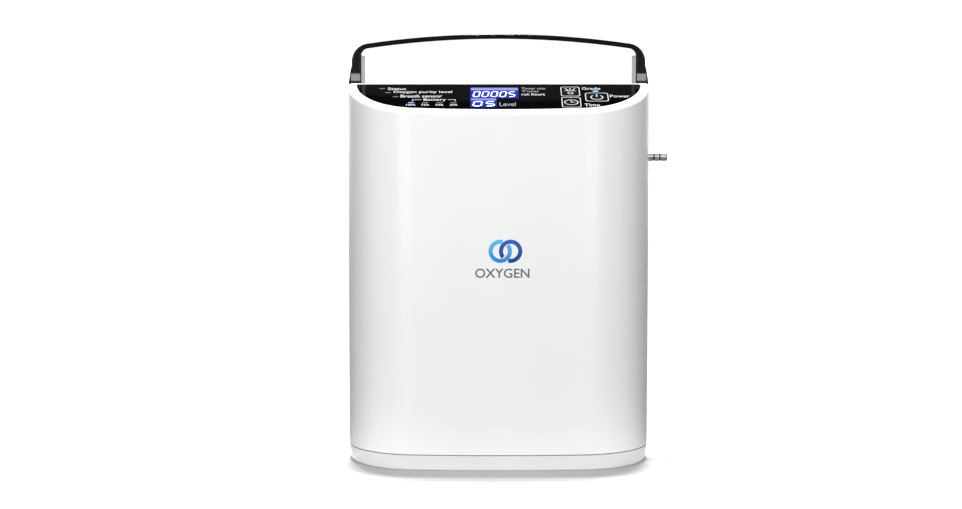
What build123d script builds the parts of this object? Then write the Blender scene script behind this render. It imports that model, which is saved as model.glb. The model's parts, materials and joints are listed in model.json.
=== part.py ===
"""Portable pulse-dose oxygen concentrator, in millimetres.

+Z is up, -Y is the front, and the origin is on the ground under the middle of the body.
The casing is two shells that meet at y = 0, with a battery pack that slides out downwards.
Inside are a twin-piston compressor, two sieve columns, a product tank, valves, a fan and boards.
"""

import os
from math import atan2, cos, degrees, radians, sin, tan

from build123d import *

# Body outline, seen from above
WIDTH = 180.0
END_R = 43.0                     # rounded ends, which also set the rear face
FRONT_REACH = 45.0               # the front face bows out 2 mm further than the rear one
END_X = WIDTH / 2 - END_R
BOW_R = (END_X**2 + FRONT_REACH**2 - END_R**2) / (2 * (FRONT_REACH - END_R))

# Heights
SEAM_Z = 9.5                     # line between the battery's base cap and the casing
SEAM_GAP = 0.6
FOOT_T = 1.6
CAP_TAPER = 7.0                  # degrees the base cap leans in towards the floor
RIDGE_Z = 226.5
FRONT_SLOPE = 19.8               # degrees, the display slope
REAR_SLOPE = 15.0
ROOF_T = 3.2
WALL = 2.4
EDGE_R = 2.4                     # rounding round the top edge
PARTING = 0.1                    # half of the gap between the two shells
DECK_Z = 52.0                    # top of the inner frame, on which the machinery stands

# Control panel, in the slope's own frame: x across, v down the slope from the ridge
PANEL_INSET = 5.3
PANEL_T = 1.5
PANEL_SUNK = 0.2
PANEL_BACK_Y = -1.2
KEY_GAP = 0.25
KEY_TRAVEL = 0.6
KEYS = {                         # name: (x from, x to, v from, v to)
    "level_key": (36.3, 48.3, 6.0, 22.0),
    "timer_key": (36.3, 48.3, 23.0, 39.8),
    "power_key": (50.4, 64.8, 15.8, 30.2),
}
LCD_LEFT, LCD_RIGHT, LCD_TOP, LCD_STEP, LCD_BOTTOM = -16.7, 11.6, 6.9, 24.0, 38.6
LCD_NARROW_RIGHT = -1.4          # the lower row of the display is shorter
ALARM_LAMPS = ((-69.2, 8.4), (-65.4, 14.9), (-60.8, 21.5))
BATTERY_LAMPS = tuple((-51.4 + 8.3 * i, 31.1) for i in range(4))
POWER_LAMP = (57.3, 12.6)

# Handle
PIVOT_Y, PIVOT_Z = 8.5, 216.0
HUB_R = 6.3
LEG_OUT_X, LEG_IN_X = 87.9, 82.2
COVER_T = 1.8
CROWN_Z, CROWN_IN_Z = 255.8, 252.9
SHOULDER_X, SHOULDER_DROP = 76.4, 5.4
NOTCH_X = 79.6                   # the ends of the rear shell are cut away beyond this, for the legs
NOTCH_Z = PIVOT_Z - HUB_R - 0.5
PIN_R = 2.0
RUNNING = 0.05                   # radial clearance of a running fit

# Oxygen outlet
PORT_Y, PORT_Z = 14.0, 182.2
PORT_TIP_X = 102.3
PORT_R = 2.9
PORT_SEAT_X = 86.2
TUBE_R = 2.3

# Screws that hold the shells together
SCREW_X, SCREW_ZS = 46.0, (58.0, 118.0, 200.0)

# Rear face
DOOR_W, DOOR_H, DOOR_Z = 66.0, 44.0, 86.0
FAN_Z, FAN_SIZE = 158.0, 60.0
FAN_Y = (END_R - WALL - 14.0, END_R - WALL)
LATCH_W, LATCH_Z = 22.0, (13.5, 24.5)
LATCH_SPRING_XS, LATCH_SPRING_Z = (-5.0, 5.0), 17.2
JACK_Y, JACK_Z = 16.0, 34.0

# Battery pack
PACK_X, PACK_Y, PACK_TOP = 68.5, 20.5, 46.0
CELL_R, CELL_L = 9.2, 65.0

# Machinery
CRANK_Z = 84.0
THROW, ECCENTRIC_R = 2.5, 5.5
BORE_R = 11.0
CYL_Y = 7.0
COLUMN_X, COLUMN_R, COLUMN_Z = 68.0, 16.0, (56.0, 160.0)
MANIFOLD_Z = (COLUMN_Z[1] + 5.0, COLUMN_Z[1] + 12.0)
VALVES = {"feed_valve_left": -24.0, "feed_valve_right": 0.0, "dose_valve": 24.0}
TANK_Y, TANK_Z, TANK_R = -22.0, 132.0, 12.5
BOARD_TOP = -7.7                 # display board, under the slope
PANEL_POSTS = ((-70, 16), (-44, 25), (28, 25), (70, 16))


def box(x0, x1, y0, y1, z0, z1):
    """Block between two corners."""
    centre = ((x0 + x1) / 2, (y0 + y1) / 2, (z0 + z1) / 2)
    return Pos(*centre) * Box(abs(x1 - x0), abs(y1 - y0), abs(z1 - z0))


def cyl_x(x0, x1, y, z, r):
    return Pos((x0 + x1) / 2, y, z) * Rot(0, 90, 0) * Cylinder(r, abs(x1 - x0))


def cyl_y(y0, y1, x, z, r):
    return Pos(x, (y0 + y1) / 2, z) * Rot(90, 0, 0) * Cylinder(r, abs(y1 - y0))


def cyl_z(z0, z1, x, y, r):
    return Pos(x, y, (z0 + z1) / 2) * Cylinder(r, abs(z1 - z0))


def both_sides(shape):
    """The shape and its mirror image across x = 0."""
    return [shape, shape.mirror(Plane.YZ)]


def outline(inset=0.0):
    """Body outline seen from above, moved inwards: two round ends, a bowed front and a flat rear."""
    end, bow = END_R - inset, BOW_R - inset
    bow_y = BOW_R - FRONT_REACH
    lean = degrees(atan2(END_X, bow_y))
    edges = [
        CenterArc((END_X, 0), end, -90 + lean, 180 - lean),
        CenterArc((-END_X, 0), end, 90, 180 - lean),
        CenterArc((0, bow_y), bow, -90 - lean, 2 * lean),
        Line((END_X, end), (-END_X, end)),
    ]
    return make_face(Wire(edges))


def prism(inset, z0, z1):
    return extrude(Pos(0, 0, z0) * outline(inset), z1 - z0, dir=(0, 0, 1))


SLOPE = Plane(
    origin=(0, 0, RIDGE_Z),
    x_dir=(1, 0, 0),
    z_dir=(0, -sin(radians(FRONT_SLOPE)), cos(radians(FRONT_SLOPE))),
)


def on_slope(shape):
    """Moves a shape drawn at (x, -v, height) into the display slope's frame."""
    return SLOPE.location * shape


def slope_block(x0, x1, v0, v1, low, high, corner=0.0):
    """Upright block on the slope, with rounded corners if asked."""
    sketch = RectangleRounded(x1 - x0, v1 - v0, corner) if corner else Rectangle(x1 - x0, v1 - v0)
    sketch = Pos((x0 + x1) / 2, -(v0 + v1) / 2, low) * sketch
    return on_slope(extrude(sketch, high - low, dir=(0, 0, 1)))


def slope_slab(low, high):
    """Everything between two heights over the display slope."""
    return slope_block(-120, 120, -20, 80, low, high)


def roof(drop):
    """Prism under the roof, lowered by drop: the front slope and the rear slope meet at the ridge."""
    front, rear = radians(FRONT_SLOPE), radians(REAR_SLOPE)
    reach = 60.0
    points = [
        (0, RIDGE_Z - drop / cos(front)),
        (-reach, RIDGE_Z - drop / cos(front) - reach * tan(front)),
        (-reach, -10),
        (reach, -10),
        (reach, RIDGE_Z - drop / cos(front) - reach * tan(rear)),
    ]
    face = make_face(Polyline(*points, close=True))
    return extrude(Plane.YZ * face, 120, both=True)


def half_envelope(front):
    """Outside of one shell, with its top edge rounded."""
    side = box(-120, 120, -60, -PARTING, 0, 300) if front else box(-120, 120, PARTING, 60, 0, 300)
    solid = prism(0, SEAM_Z + SEAM_GAP / 2, 260) & roof(0) & side
    rim = [
        e for e in solid.edges()
        if e.center().Z > 200 and abs(e.center().Y) > 1 and e.bounding_box().size.X > 0.5
    ]
    return fillet(rim, EDGE_R)


def cavity(front):
    """Inside of one shell, open at the bottom."""
    side = box(-120, 120, -60, 0.5, -5, 300) if front else box(-120, 120, -0.5, 60, -5, 300)
    return prism(WALL, -5, 260) & roof(ROOF_T if front else WALL) & side


def panel_outline(inset):
    """Control panel's outline seen from above: the body's outline in front of a straight rear edge."""
    shape = prism(PANEL_INSET + inset, 150, 260) & box(-120, 120, -60, PANEL_BACK_Y - inset, 150, 260)
    corners = [
        e for e in shape.edges().filter_by(Axis.Z)
        if e.center().Y > PANEL_BACK_Y - inset - 1
    ]
    return fillet(corners, 1.6)


def lcd_shape(grow, low, high):
    """The display's stepped window."""
    upper = slope_block(LCD_LEFT - grow, LCD_RIGHT + grow, LCD_TOP - grow, LCD_STEP + grow, low, high)
    lower = slope_block(LCD_LEFT - grow, LCD_NARROW_RIGHT + grow, LCD_STEP - 1, LCD_BOTTOM + grow, low, high)
    return upper + lower


def lamp(x, v, grow, low, high):
    return slope_block(x - 1.6 - grow, x + 1.6 + grow, v - 0.6 - grow, v + 0.6 + grow, low, high)


def lamps(grow, low, high):
    places = ALARM_LAMPS + BATTERY_LAMPS + (POWER_LAMP,)
    return [lamp(x, v, grow, low, high) for x, v in places]


def screw_places():
    return [(side * SCREW_X, z) for side in (-1, 1) for z in SCREW_ZS]


def front_shell():
    shell = half_envelope(True) - cavity(True)
    end_wall = box(NOTCH_X - 3, 100, -1.7, -PARTING, NOTCH_Z - 2.4, 240) & half_envelope(True)
    for wall in both_sides(end_wall):
        shell += wall
    shell -= panel_outline(-0.15) & slope_slab(-PANEL_T - PANEL_SUNK, 20)
    shell -= panel_outline(0.5) & slope_slab(-20, 20)
    for x, z in screw_places():
        boss = cyl_y(-43.2, 1.6, x, z, 3.5) & prism(0.8, 0, 240) & roof(1.0)
        shell = shell + boss - cyl_y(-12, 2, x, z, 1.5)
    for x in (-36, 36):
        for z in (116, 182):
            shell += cyl_y(-44, -38.6, x, z, 2.5) & prism(0.8, 0, 240)
    return shell


def control_panel():
    top = -PANEL_SUNK
    panel = panel_outline(0) & slope_slab(top - PANEL_T, top)
    for x0, x1, v0, v1 in KEYS.values():
        panel -= slope_block(x0, x1, v0, v1, -10, 10, corner=2.0)
    panel -= lcd_shape(0.05, -10, 10)
    for hole in lamps(0.05, -10, 10):
        panel -= hole
    for x, v in PANEL_POSTS:
        panel += on_slope(Pos(x, -v, (BOARD_TOP - 1) / 2) * Cylinder(2.4, -BOARD_TOP - 1))
    return panel


def key(name):
    """Key cap, standing just proud of the panel, with a flange under it and a stem."""
    x0, x1, v0, v1 = KEYS[name]
    g, lip = KEY_GAP, 0.35
    cap = slope_block(x0 + g, x1 - g, v0 + g, v1 - g, -2.0, 0.15, corner=1.8)
    rim = [e for e in cap.edges() if SLOPE.to_local_coords(e).center().Z > 0.1]
    cap = chamfer(rim, 0.3)
    flange = slope_block(x0 - lip, x1 + lip, v0 - lip, v1 + lip, -2.9, -1.9, corner=2.2)
    stem_x, stem_v = (x0 + x1) / 2, (v0 + v1) / 2
    return cap + flange + slope_block(stem_x - 2, stem_x + 2, stem_v - 2, stem_v + 2, -3.5, -2.9)


def display_board():
    """Board under the panel, with a dome switch below each key."""
    board = slope_block(-74, 74, 9, 36, BOARD_TOP - 1.5, BOARD_TOP, corner=3)
    found = [board & prism(5, 100, 260)]
    for x0, x1, v0, v1 in KEYS.values():
        x, v = (x0 + x1) / 2, (v0 + v1) / 2
        body = slope_block(x - 3, x + 3, v - 3, v + 3, BOARD_TOP, -5.4)
        found.append(body + on_slope(Pos(x, -v, -4.8) * Cylinder(1.7, 1.2)))
    return found


def lcd_module():
    glass = slope_block(LCD_LEFT - 1, LCD_RIGHT + 1, LCD_TOP - 0.5, LCD_BOTTOM + 0.5, -4.2, -1.8)
    backlight = slope_block(LCD_LEFT - 1, LCD_RIGHT + 1, LCD_TOP + 4, LCD_BOTTOM - 4, BOARD_TOP, -4.2)
    return glass + backlight


def crown_arc(x, top):
    """Height of the crown's arc at x, and the arc's ends at plus and minus x."""
    r = (SHOULDER_X**2 + SHOULDER_DROP**2) / (2 * SHOULDER_DROP)
    return top - r + (r * r - x * x) ** 0.5


def bow_face(points, top, corner_r):
    """Symmetrical upright shape: up one side, over the crown's arc and down the other side."""
    x = -points[-1][0]
    left = points + [(-x, crown_arc(x, top))]
    right = [(-px, pz) for px, pz in reversed(left)]
    crown = ThreePointArc(left[-1], (0, top), right[0])
    foot = Line(right[-1], left[0])
    face = make_face(Wire([*Polyline(*left).edges(), crown, *Polyline(*right).edges(), foot]))
    return fillet([v for v in face.vertices() if v.Y > 240], corner_r)


def handle_frame():
    """Bow with two legs, whose round ends turn on pins."""
    low = PIVOT_Z - HUB_R - 1
    filled = bow_face([(-89.7, low), (-89.7, RIDGE_Z + 0.5), (-88.4, 235), (-LEG_OUT_X, 236.5)], CROWN_Z, 11.0)
    gap = bow_face([(-LEG_IN_X, low - 1), (-LEG_IN_X, 240)], CROWN_IN_Z, 4.5)
    y0, y1 = PIVOT_Y - HUB_R, PIVOT_Y + HUB_R
    bow = extrude(Plane.XZ * (filled - gap), y1 - y0, dir=(0, 1, 0))
    bow = fillet([e for e in bow.edges() if e.center().Z > 246 and e.bounding_box().size.Y < 0.5], 0.9)
    bow = Pos(0, y0, 0) * bow
    side_view = box(-100, 100, y0, y1, PIVOT_Z, 270) + cyl_x(-100, 100, PIVOT_Y, PIVOT_Z, HUB_R)
    bow = bow & side_view & prism(0.25, 150, 280)
    for side in (-1, 1):
        bow -= cyl_x(side * 80, side * 95, PIVOT_Y, PIVOT_Z, PIN_R + RUNNING)
        bow -= cyl_x(side * 86.2, side * 95, PIVOT_Y, PIVOT_Z, 4.3)
    return bow


def handle_leg_covers():
    """Pale strips lining the inside of the legs."""
    y0, y1 = PIVOT_Y - HUB_R + 1.0, PIVOT_Y + HUB_R
    strip = box(LEG_IN_X - COVER_T, LEG_IN_X, y0, y1, PIVOT_Z, 243.0)
    top = [e for e in strip.edges().filter_by(Axis.Y) if e.center().Z > 240 and e.center().X < LEG_IN_X - 1]
    strip = fillet(top, 1.5)
    strip += cyl_x(LEG_IN_X - COVER_T, LEG_IN_X, PIVOT_Y, PIVOT_Z, HUB_R - 1.0)
    strip -= cyl_x(70, 90, PIVOT_Y, PIVOT_Z, PIN_R + RUNNING)
    return both_sides(strip)


def handle_pivots():
    """Pins fixed in the casing, each with a slotted head let into the leg and a nut inside."""
    pin = cyl_x(74.0, 87.8, PIVOT_Y, PIVOT_Z, PIN_R)
    head = cyl_x(86.4, 87.8, PIVOT_Y, PIVOT_Z, 4.0)
    head -= box(87.2, 89, PIVOT_Y - 0.5, PIVOT_Y + 0.5, PIVOT_Z - 2.8, PIVOT_Z + 2.8)
    nut = cyl_x(73.0, 75.0, PIVOT_Y, PIVOT_Z, 3.6)
    return both_sides(pin + head + nut)


def rear_face_slots():
    """Louvres of the fan outlet in the rear face."""
    slots = []
    for i in range(9):
        z = FAN_Z - 24 + 6 * i
        chord = 2 * (27.0**2 - (z - FAN_Z) ** 2) ** 0.5
        slots.append(Pos(0, 38, z) * Rot(-90, 0, 0) * extrude(SlotOverall(max(chord, 16) + 2, 2.8), 8))
    return slots


def side_slots():
    """Cooling inlets in each round end, behind the parting line."""
    slots = []
    for i in range(8):
        slot = extrude(SlotOverall(18, 2.6), 20)
        slot = Pos(74, 17, 74 + 6.5 * i) * Rot(0, 0, 90) * Rot(90, 0, 0) * slot
        slots.extend(both_sides(slot))
    return slots


def rear_shell():
    envelope = half_envelope(False)
    shell = envelope - cavity(False)
    notch_block = box(NOTCH_X - 2.4, 100, 0, 60, NOTCH_Z - 2.4, 240) & envelope
    for block in both_sides(notch_block):
        shell += block
    pad_w, pad_h = DOOR_W / 2 + 4, DOOR_H / 2 + 4
    shell += box(-pad_w, pad_w, 37.2, 41, DOOR_Z - pad_h, DOOR_Z + pad_h)
    port_boss = cyl_x(82.4, 90, PORT_Y, PORT_Z, 7.5) & envelope
    shell += port_boss
    for x, z in screw_places():
        boss = cyl_y(2.0, 42.0, x, z, 4.2) & prism(0.8, 0, 240) & roof(1.0)
        shell = shell + boss - cyl_y(12.0, 50, x, z, 3.2) - cyl_y(0, 13, x, z, 1.7)
    for side in (-1, 1):
        shell -= box(side * NOTCH_X, side * 100, -5, 60, NOTCH_Z, 240)
        shell += cyl_x(side * 75.0, side * (NOTCH_X - 2), PIVOT_Y, PIVOT_Z, 5.0)
        shell += cyl_x(side * (NOTCH_X - 1), side * (NOTCH_X + 0.6), PIVOT_Y, PIVOT_Z, 4.5)
        shell -= cyl_x(side * 70.0, side * 90, PIVOT_Y, PIVOT_Z, PIN_R + RUNNING)
    for grow, y in ((0.3, 41), (-4, 30)):
        half_w, half_h = DOOR_W / 2 + grow, DOOR_H / 2 + grow
        shell -= box(-half_w, half_w, y, 50, DOOR_Z - half_h, DOOR_Z + half_h)
    for slot in rear_face_slots() + side_slots():
        shell -= slot
    shell -= cyl_x(PORT_SEAT_X, 100, PORT_Y, PORT_Z, 6.6)
    shell -= cyl_x(70, 100, PORT_Y, PORT_Z, 3.3)
    shell -= box(-LATCH_W / 2 - 0.4, LATCH_W / 2 + 0.4, 38, 50, LATCH_Z[0] - 0.4, LATCH_Z[1] + 0.4)
    shell -= cyl_x(-100, -80, JACK_Y, JACK_Z, 4.25)
    return shell


def casing_screws():
    found = []
    for x, z in screw_places():
        shank = cyl_y(-8, 12.1, x, z, 1.4)
        head = cyl_y(12.1, 14.5, x, z, 2.8) - cyl_y(13.3, 15, x, z, 1.0)
        found.append(shank + head)
    return found


def filter_door():
    """Pull-off intake cover with louvres and four clips."""
    door = box(-DOOR_W / 2, DOOR_W / 2, 41.2, 43.0, DOOR_Z - DOOR_H / 2, DOOR_Z + DOOR_H / 2)
    door = fillet(door.edges().filter_by(Axis.Y), 3.0)
    for column in (-1, 1):
        for i in range(6):
            place = Pos(column * 14, 40, DOOR_Z - 13.5 + 5.4 * i) * Rot(-90, 0, 0)
            door -= place * extrude(SlotOverall(22, 2.4), 6)
    for x in (-24, 24):
        for side in (-1, 1):
            z = DOOR_Z + side * (DOOR_H / 2 - 5.2)
            door += box(x - 3, x + 3, 37.6, 41.4, z - 0.8, z + 0.8)
    return door


def filter_foam():
    return box(-28, 28, 37.4, 41.2, DOOR_Z - 15.5, DOOR_Z + 15.5)


def intake_filter():
    """Fine filter cartridge between the intake and the compressor."""
    case = box(-20, 34, 26.5, 37.2, DOOR_Z - 19, DOOR_Z + 19)
    case = fillet(case.edges().filter_by(Axis.Y), 2.0)
    for i in range(9):
        x = -16 + 6 * i
        case -= box(x, x + 3, 33.4, 38, DOOR_Z - 14, DOOR_Z + 14)
    return case


def fan_frame():
    half = FAN_SIZE / 2
    y0, y1 = FAN_Y
    frame = box(-half, half, y0, y1, FAN_Z - half, FAN_Z + half)
    frame = fillet(frame.edges().filter_by(Axis.Y), 3.0) - cyl_y(y0 - 1, y1 + 1, 0, FAN_Z, 27.5)
    for angle in (45, 135, 225, 315):
        frame += Pos(0, 0, FAN_Z) * Rot(0, angle, 0) * box(8, 28.5, y0, y0 + 2, -1.2, 1.2)
    frame += cyl_y(y0, y0 + 2, 0, FAN_Z, 11) + cyl_y(y0 + 1, y0 + 6, 0, FAN_Z, 3.0)
    for x in (-25, 25):
        for z in (FAN_Z - 25, FAN_Z + 25):
            frame -= cyl_y(y0 - 1, y1 + 1, x, z, 2.1)
    return frame


def fan_rotor():
    """Seven-bladed rotor, whose cup turns on the frame's spigot."""
    y0 = FAN_Y[0] + 2.6
    rotor = cyl_y(y0, y0 + 10, 0, FAN_Z, 11) - cyl_y(y0 - 1, y0 + 8, 0, FAN_Z, 9.5)
    rotor += cyl_y(y0, y0 + 9, 0, FAN_Z, 5.0) - cyl_y(y0 - 1, y0 + 4.4, 0, FAN_Z, 3.0 + RUNNING)
    for i in range(7):
        blade = Pos(18.5, y0 + 5, 0) * Rot(35, 0, 0) * Box(17, 1.4, 10)
        rotor += Pos(0, 0, FAN_Z) * Rot(0, i * 360 / 7, 0) * blade
    return rotor & cyl_y(y0, y0 + 10, 0, FAN_Z, 26.6)


def oxygen_outlet():
    """Nickel-plated nozzle with two grooves for the cannula's tube."""
    x_flange = PORT_SEAT_X + 0.8
    body = cyl_x(80, x_flange, PORT_Y, PORT_Z, 3.2) + cyl_x(x_flange, x_flange + 1.2, PORT_Y, PORT_Z, 6.0)
    nozzle = cyl_x(x_flange + 1.2, PORT_TIP_X, PORT_Y, PORT_Z, PORT_R)
    tip = [e for e in nozzle.edges() if e.center().X > PORT_TIP_X - 0.1]
    nozzle = chamfer(tip, 0.6)
    tail = cyl_x(75.5, 80, PORT_Y, PORT_Z, 2.0)
    for groove_x in (94.1, 97.7):
        ring = cyl_x(groove_x - 0.4, groove_x + 0.4, PORT_Y, PORT_Z, PORT_R + 1)
        nozzle -= ring - cyl_x(groove_x - 1, groove_x + 1, PORT_Y, PORT_Z, 2.5)
    return body + nozzle + tail - cyl_x(70, 110, PORT_Y, PORT_Z, 1.3)


def outlet_nut():
    sketch = RegularPolygon(5.6, 6)
    nut = Pos(79.8, PORT_Y, PORT_Z) * Rot(0, 90, 0) * extrude(sketch, 2.5)
    return nut - cyl_x(70, 90, PORT_Y, PORT_Z, 3.25)


def outlet_seal():
    return cyl_x(PORT_SEAT_X, PORT_SEAT_X + 0.75, PORT_Y, PORT_Z, 5.8) - cyl_x(80, 90, PORT_Y, PORT_Z, 3.25)


def dc_jack():
    """Barrel socket facing left."""
    body = box(-80.8, -71.5, JACK_Y - 5, JACK_Y + 5, JACK_Z - 5, JACK_Z + 5)
    body = body + cyl_x(-86.4, -80.8, JACK_Y, JACK_Z, 4.2) - cyl_x(-90, -76, JACK_Y, JACK_Z, 2.8)
    return body + cyl_x(-85.0, -75, JACK_Y, JACK_Z, 1.0)


def inner_frame():
    """Deck that carries the machinery, with the battery's sleeve under it."""
    deck = prism(WALL, DECK_Z - 2.4, DECK_Z)
    outer = box(-PACK_X - 2.4, PACK_X + 2.4, -PACK_Y - 2.4, PACK_Y + 2.4, 14, DECK_Z - 1)
    outer = fillet(outer.edges().filter_by(Axis.Z), 4.0)
    inner = box(-PACK_X - 0.6, PACK_X + 0.6, -PACK_Y - 0.6, PACK_Y + 0.6, 0, DECK_Z - 2.4)
    frame = deck + outer - inner
    for x in (-50, 0, 50):
        frame += box(x - 1.2, x + 1.2, -40, -22, 20, DECK_Z - 1)
    return frame - box(-9, 9, -8, 8, 40, 60)


def battery_socket():
    """Spring-contact block in the deck, over the pack."""
    block = box(-8.8, 8.8, -7.8, 7.8, DECK_Z - 2.4, DECK_Z + 3)
    for i in range(4):
        block += box(-7.2 + 4 * i, -5.2 + 4 * i, -4, 4, DECK_Z - 4.4, DECK_Z - 2.4)
    return block


def battery_latch():
    """Push button at the rear that frees the pack, held in by a flange and bored for two springs."""
    low, high = LATCH_Z
    inside = END_R - WALL - 0.2
    pad = box(-LATCH_W / 2, LATCH_W / 2, inside, END_R + 0.2, low, high)
    pad = fillet(pad.edges().filter_by(Axis.Y), 2.0)
    for i in range(3):
        z = low + 3.2 + 2.3 * i
        pad -= box(-6, 6, END_R - 0.3, 44, z - 0.4, z + 0.4)
    pad += box(-LATCH_W / 2 - 2, LATCH_W / 2 + 2, inside - 2.0, inside, low + 0.5, high)
    pad += box(-9, 9, inside - 5.0, inside - 1.0, low + 0.5, low + 6.5)
    for x in LATCH_SPRING_XS:
        pad -= cyl_y(30, inside - 0.8, x, LATCH_SPRING_Z, 1.9)
    return pad


def latch_springs():
    """Two coil springs behind the latch, as plain sleeves."""
    found = []
    y0, y1 = PACK_Y + 2.4, END_R - WALL - 3.2
    for x in LATCH_SPRING_XS:
        sleeve = cyl_y(y0, y1, x, LATCH_SPRING_Z, 1.5) - cyl_y(y0 - 1, y1 + 1, x, LATCH_SPRING_Z, 0.9)
        found.append(sleeve)
    return found


def base_cap():
    """Bottom of the casing, which is the battery pack's own cap, with a lip that enters the shells."""
    top = SEAM_Z - SEAM_GAP / 2
    skin = extrude(Pos(0, 0, top) * outline(), top, dir=(0, 0, -1), taper=CAP_TAPER)
    skin = fillet([e for e in skin.edges() if e.center().Z < 0.1], 1.6)
    cap = skin - prism(WALL, 2.0, top + 1)
    lip = prism(WALL + 0.4, top - 3, top + 2.6) + prism(WALL - 0.2, top - 4, top - 1)
    cap += lip - prism(WALL + 1.8, 0, 20) - box(-16, 16, 30, 50, top - 0.5, 30)
    for x, y in foot_places():
        cap -= cyl_z(-1, FOOT_T, x, y, 6.1)
    return cap


def foot_places():
    return [(x, y) for x in (-60, 60) for y in (-22, 22)]


def rubber_feet():
    return [cyl_z(0, FOOT_T, x, y, 6.0) for x, y in foot_places()]


def battery_case():
    low = 2.0
    case = box(-PACK_X, PACK_X, -PACK_Y, PACK_Y, low, PACK_TOP)
    case = fillet(case.edges().filter_by(Axis.Z), 3.4)
    case -= box(-PACK_X + 1.4, PACK_X - 1.4, -PACK_Y + 1.4, PACK_Y - 1.4, low + 1.2, PACK_TOP - 1.6)
    return case - box(-8, 8, -4.5, 4.5, PACK_TOP - 3, PACK_TOP + 1)


def battery_cells():
    found = []
    for x in (-CELL_L / 2 - 0.6, CELL_L / 2 + 0.6):
        for y in (-CELL_R - 0.1, CELL_R + 0.1):
            for z in (12.6, 31.2):
                found.append(cyl_x(x - CELL_L / 2, x + CELL_L / 2, y, z, CELL_R - 0.05))
    return found


def battery_board():
    """Protection board on top of the cells, with the pack's four contacts."""
    board = box(-24, 24, -8, 8, 40.8, 42.0)
    for i in range(4):
        board += box(-7.4 + 4 * i, -5.0 + 4 * i, -3.8, 3.8, 42.0, 45.2)
    return board


def crankcase():
    case = box(-18, 18, -10, 24, CRANK_Z - 20, CRANK_Z + 20)
    case = fillet(case.edges().filter_by(Axis.Y), 4.0)
    case -= box(-15.8, 15.8, -7.5, 21.5, CRANK_Z - 17, CRANK_Z + 17)
    case -= cyl_x(-30, 30, CYL_Y, CRANK_Z, BORE_R)
    case -= cyl_y(-12, 30, 0, CRANK_Z, 5.05)
    for side in (-1, 1):
        case += box(side * 10, side * 20, 2, 12, CRANK_Z - 24, CRANK_Z - 19)
    return case


def crank_bearings():
    found = []
    for y0, y1 in ((-10, -7.5), (21.5, 24)):
        found.append(cyl_y(y0, y1, 0, CRANK_Z, 5.0) - cyl_y(-20, 30, 0, CRANK_Z, 2.55))
    return found


def motor_case():
    """Drawn can of the brushless motor, in front of the crankcase."""
    can = cyl_y(-36.5, -10.1, 0, CRANK_Z, 20) - cyl_y(-35, -9, 0, CRANK_Z, 18.5)
    can -= cyl_y(-40, -34, 0, CRANK_Z, 3.2)
    for i in range(8):
        slot = Pos(0, 0, CRANK_Z) * Rot(0, i * 45, 0) * box(8, 15, -38, -34, -1.5, 1.5)
        can -= slot
    return can


def motor_stator():
    ring = cyl_y(-31, -15, 0, CRANK_Z, 18.3) - cyl_y(-35, -10, 0, CRANK_Z, 10.2)
    for i in range(9):
        ring -= Pos(0, 0, CRANK_Z) * Rot(0, i * 40, 0) * box(9, 16.4, -35, -10, -1.6, 1.6)
    return ring


def crankshaft():
    """Rotor, shaft, two opposed eccentrics and their balance weight."""
    shaft = cyl_y(-33.5, 25.5, 0, CRANK_Z, 2.5) + cyl_y(-30, -16, 0, CRANK_Z, 9.6)
    shaft += cyl_y(0.6, 5.4, 0, CRANK_Z + THROW, ECCENTRIC_R)
    shaft += cyl_y(8.6, 13.4, 0, CRANK_Z - THROW, ECCENTRIC_R)
    weight = cyl_y(15.5, 19.5, 0, CRANK_Z, 11) & box(-3.5, 20, 10, 25, CRANK_Z - 12, CRANK_Z + 12)
    return shaft + weight


def piston(side):
    """Piston cup and rod. The big end leaves room for the crank's whole swing."""
    rod_y = (0.8, 5.2) if side > 0 else (8.8, 13.2)
    ring = cyl_y(*rod_y, 0, CRANK_Z, 13.0) - cyl_y(-5, 20, 0, CRANK_Z, 2 * THROW + ECCENTRIC_R + 0.3)
    rod = box(side * 11.5, side * 22.5, rod_y[0], rod_y[1], CRANK_Z - 3, CRANK_Z + 3)
    cup = cyl_x(side * 22.5, side * 26.5, CYL_Y, CRANK_Z, BORE_R - 0.06)
    return ring + rod + cup


def cylinder(side):
    barrel = cyl_x(side * 18, side * 32, CYL_Y, CRANK_Z, 13.5)
    return barrel - cyl_x(side * 17, side * 33, CYL_Y, CRANK_Z, BORE_R)


def valve_plate(side):
    plate = box(side * 32, side * 33.6, CYL_Y - 14, CYL_Y + 14, CRANK_Z - 14, CRANK_Z + 14)
    for z in (-5, 5):
        plate -= cyl_x(side * 30, side * 35, CYL_Y, CRANK_Z + z, 1.6)
    return plate


def cylinder_head(side):
    """Finned head with an outlet stub on top."""
    head = box(side * 33.6, side * 41, CYL_Y - 14, CYL_Y + 14, CRANK_Z - 14, CRANK_Z + 14)
    for i in range(5):
        z = CRANK_Z - 11 + 5 * i
        head -= box(side * 36.4, side * 42, CYL_Y - 15, CYL_Y + 15, z, z + 2.2)
    return head + cyl_z(CRANK_Z + 13, CRANK_Z + 17, side * 37.4, CYL_Y, 2.2)


def head_screws():
    found = []
    for side in (-1, 1):
        for y in (CYL_Y - 12, CYL_Y + 12):
            for z in (CRANK_Z - 12.4, CRANK_Z + 12.6):
                found.append(cyl_x(side * 41.05, side * 42.6, y, z, 1.5))
    return found


def compressor_mounts():
    """Rubber buffers under the crankcase and the motor."""
    found = [cyl_z(DECK_Z, CRANK_Z - 24, x, 7, 4.0) for x in (-15, 15)]
    for x in (-11, 11):
        post = cyl_z(DECK_Z, CRANK_Z - 12, x, -24, 4.0)
        found.append(post - cyl_y(-40, -8, 0, CRANK_Z, 20.1))
    return found


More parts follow.
